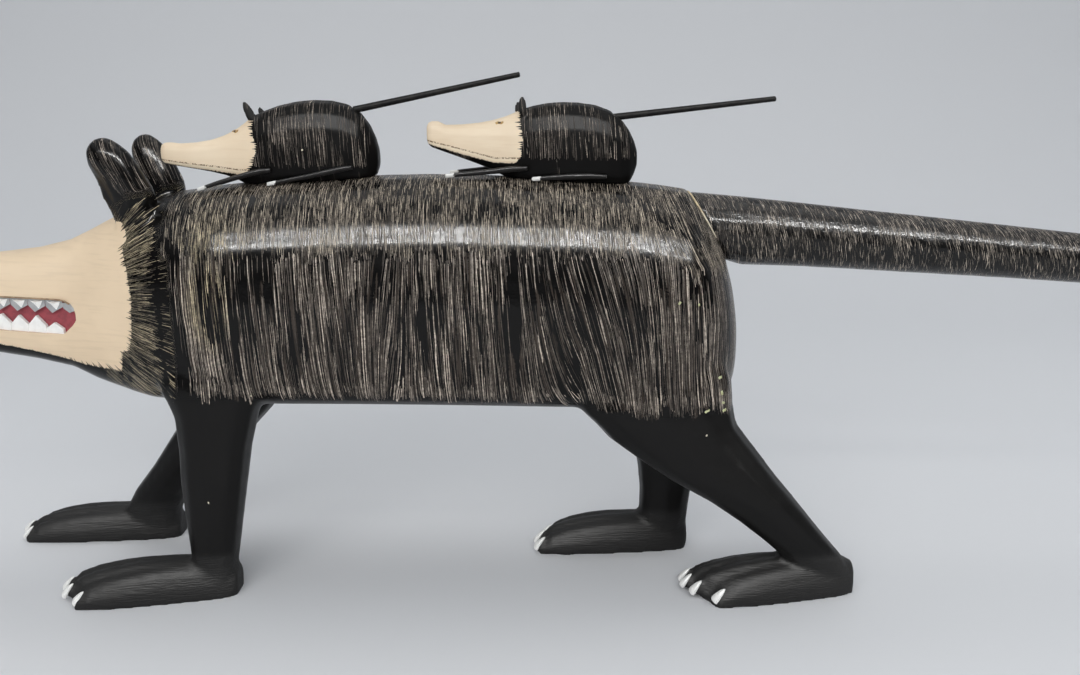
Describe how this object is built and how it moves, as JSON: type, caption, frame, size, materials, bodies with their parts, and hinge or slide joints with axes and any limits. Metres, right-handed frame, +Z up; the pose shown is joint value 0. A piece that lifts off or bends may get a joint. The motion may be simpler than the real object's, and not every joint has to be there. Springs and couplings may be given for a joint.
{
  "type": "carved wooden opossum",
  "caption": "Carved and painted wooden opossum on the walk, teeth bared, with young lying along her back.",
  "frame": {"origin": "centre of the bounding box's underside, on the plane of the soles", "axes": "+X from the head to the tail, +Y to the figure's right-hand side, away from the picture's camera, +Z up"},
  "size_m": [1.2874, 0.1888, 0.4449],
  "materials": {
    "mother_wood": "black paint scratched through to tan, cream face, varnished",
    "tail_wood": "black paint scratched through to tan, varnished",
    "young_wood": "black paint scratched with fine lines, cream face, varnished",
    "stick_wood": "dark grey paint, satin",
    "limb_wood": "black paint with white paw ends"
  },
  "bodies": {
    "root": {"mother_body": "mother_wood", "mother_tail": "tail_wood", "joey_front_body": "young_wood", "joey_front_tail": "stick_wood", "joey_front_foreleg_near": "limb_wood", "joey_front_foreleg_far": "limb_wood", "joey_front_hindleg_near": "limb_wood", "joey_front_hindleg_far": "limb_wood", "joey_rear_body": "young_wood", "joey_rear_tail": "stick_wood", "joey_rear_foreleg_near": "limb_wood", "joey_rear_foreleg_far": "limb_wood", "joey_rear_hindleg_near": "limb_wood", "joey_rear_hindleg_far": "limb_wood"}
  },
  "joints": []
}
